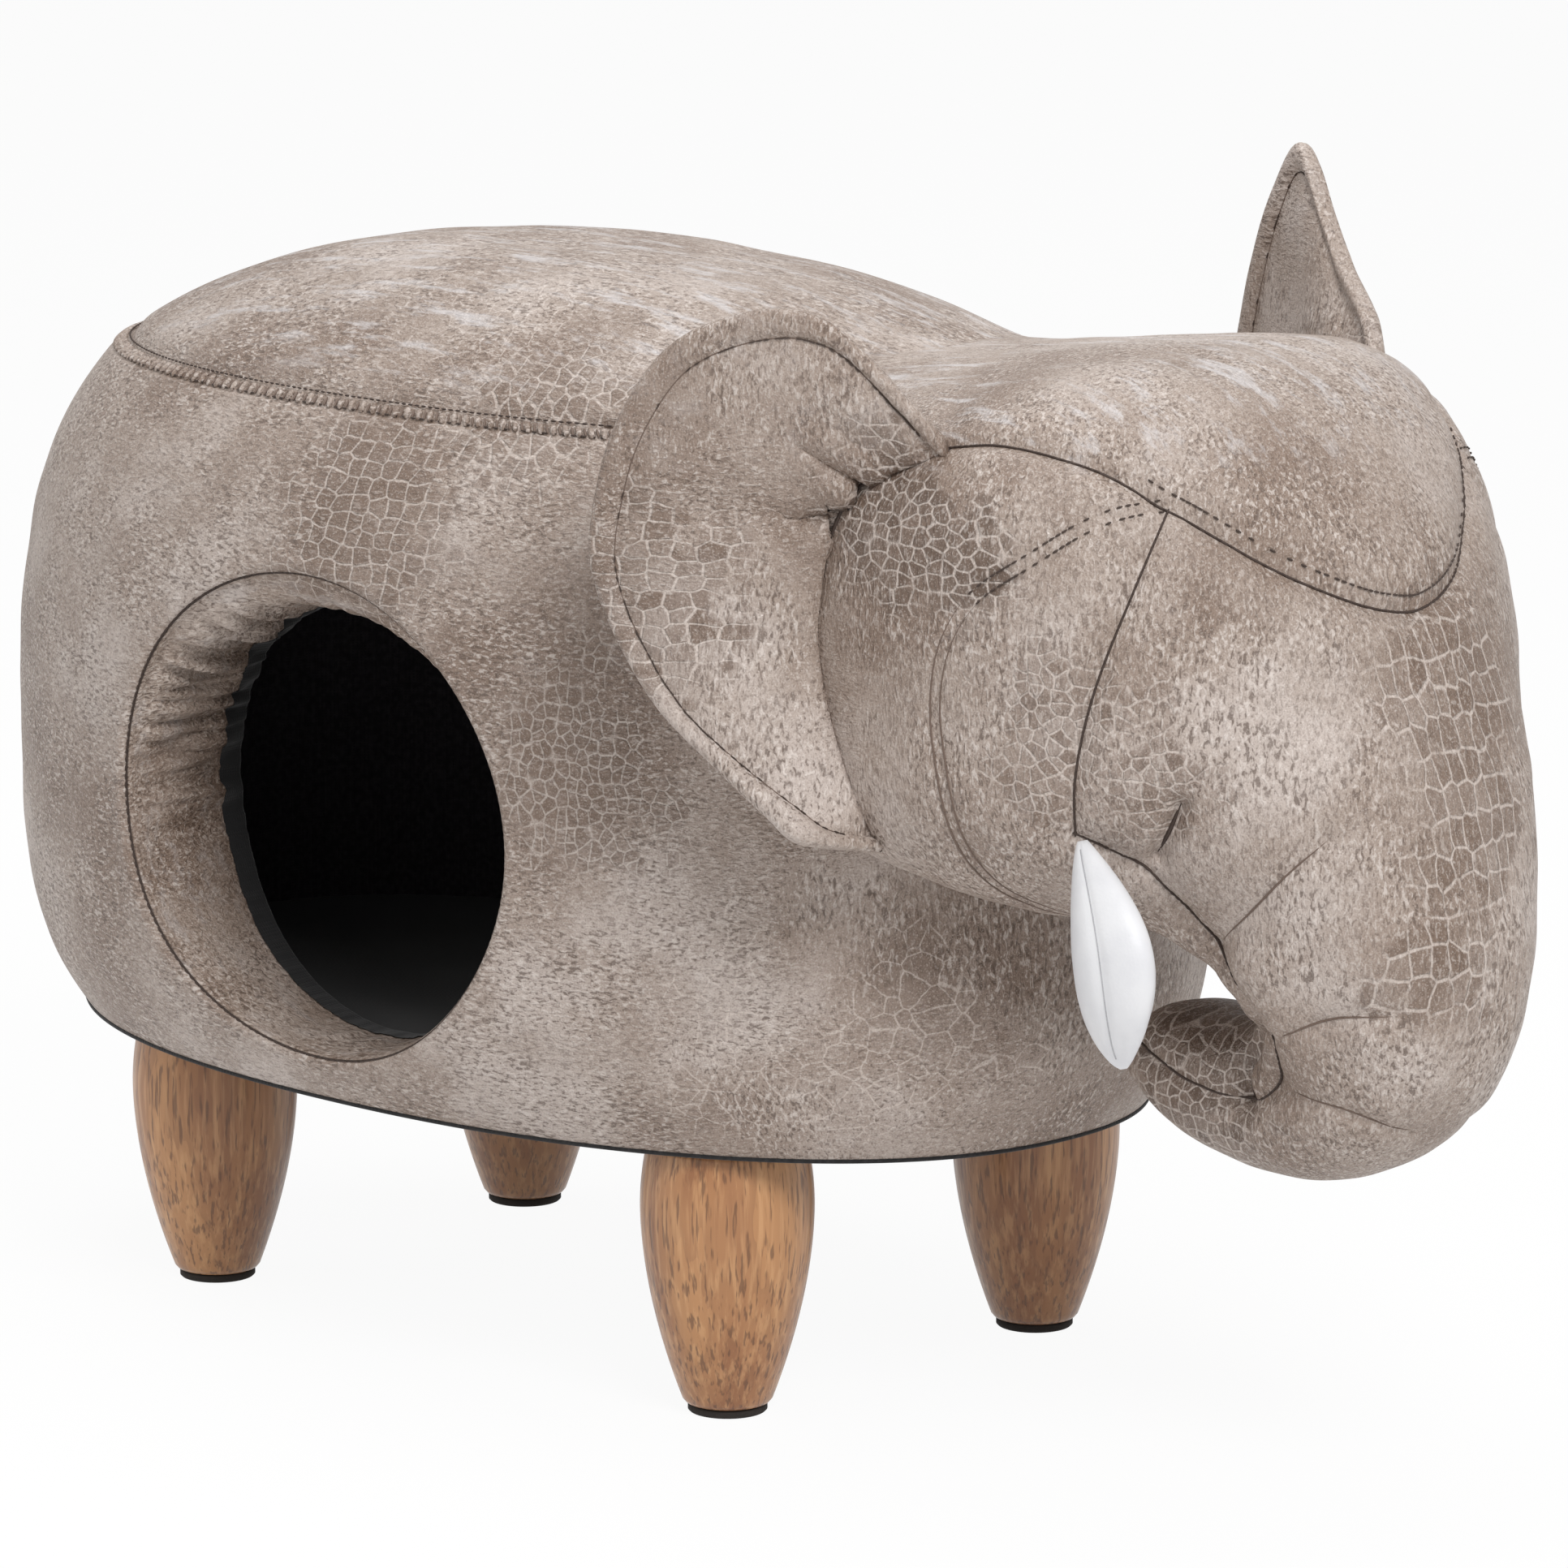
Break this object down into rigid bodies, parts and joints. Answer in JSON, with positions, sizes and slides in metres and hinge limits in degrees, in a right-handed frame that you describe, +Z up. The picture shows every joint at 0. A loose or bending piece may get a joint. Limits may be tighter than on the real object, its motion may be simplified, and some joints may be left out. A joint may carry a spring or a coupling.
{
  "type": "elephant storage pouf",
  "caption": "Low oval padded seat shaped as an elephant, on turned wooden legs, with stuffed head, curled trunk, ear flaps, tusks and a round side entrance into a lined hollow.",
  "frame": {"origin": "on the floor, under the middle of the whole object's box", "axes": "+Z up, +X from the seat towards the trunk, -Y the side with the entrance"},
  "size_m": [0.7171, 0.3583, 0.4616],
  "materials": {
    "taupe_leather": "distressed, slight sheen",
    "stuffed_leather": "distressed leather-like cloth over fibre filling",
    "white_leather": "smooth white leather-like cloth over fibre filling",
    "black_lining": "matt non-woven",
    "turned_wood": "oiled, open grain",
    "plywood": "raw",
    "foam": "open-cell foam",
    "zinc_steel": "zinc plated",
    "pad_felt": "matt"
  },
  "bodies": {
    "pouf": {"base_board": "plywood", "base_screw_1": "zinc_steel", "base_screw_2": "zinc_steel", "base_screw_3": "zinc_steel", "base_screw_4": "zinc_steel", "dust_cover": "black_lining", "hanger_bolt_front_left": "zinc_steel", "hanger_bolt_front_right": "zinc_steel", "hanger_bolt_rear_left": "zinc_steel", "hanger_bolt_rear_right": "zinc_steel", "head": "stuffed_leather", "leg_front_left": "turned_wood", "leg_front_right": "turned_wood", "leg_pad_front_left": "pad_felt", "leg_pad_front_right": "pad_felt", "leg_pad_rear_left": "pad_felt", "leg_pad_rear_right": "pad_felt", "leg_rear_left": "turned_wood", "leg_rear_right": "turned_wood", "lining_ceiling": "black_lining", "lining_floor": "black_lining", "lining_wall": "black_lining", "seat_board": "plywood", "seat_cover": "taupe_leather", "seat_foam": "foam", "seat_screw_1": "zinc_steel", "seat_screw_2": "zinc_steel", "seat_screw_3": "zinc_steel", "seat_screw_4": "zinc_steel", "side_cover": "taupe_leather", "side_foam": "foam", "t_nut_front_left": "zinc_steel", "t_nut_front_right": "zinc_steel", "t_nut_rear_left": "zinc_steel", "t_nut_rear_right": "zinc_steel", "trunk": "stuffed_leather", "tunnel_sleeve": "taupe_leather", "wall_left": "plywood", "wall_right": "plywood"},
    "ear_right": {"ear_right": "stuffed_leather"},
    "ear_left": {"ear_left": "stuffed_leather"},
    "tusk_right": {"tusk_right": "white_leather"},
    "tusk_left": {"tusk_left": "white_leather"}
  },
  "joints": [
    {"name": "ear_right_flap", "type": "hinge", "parent": "pouf", "child": "ear_right", "pos_m": [0.1755, -0.14267, 0.2406], "axis": [0, 0.0711, 0.9975], "range_deg": [-15, 45], "stiffness_Nm_per_rad": 0.15},
    {"name": "ear_left_flap", "type": "hinge", "parent": "pouf", "child": "ear_left", "pos_m": [0.1755, 0.14267, 0.2406], "axis": [0, 0.0711, -0.9975], "range_deg": [-15, 45], "stiffness_Nm_per_rad": 0.15},
    {"name": "tusk_right_swing", "type": "hinge", "parent": "pouf", "child": "tusk_right", "pos_m": [0.2635, -0.11143, 0.2506], "axis": [-1, 0, 0], "range_deg": [-10, 50], "stiffness_Nm_per_rad": 0.08},
    {"name": "tusk_left_swing", "type": "hinge", "parent": "pouf", "child": "tusk_left", "pos_m": [0.2635, 0.11143, 0.2506], "axis": [1, 0, 0], "range_deg": [-10, 50], "stiffness_Nm_per_rad": 0.08}
  ]
}
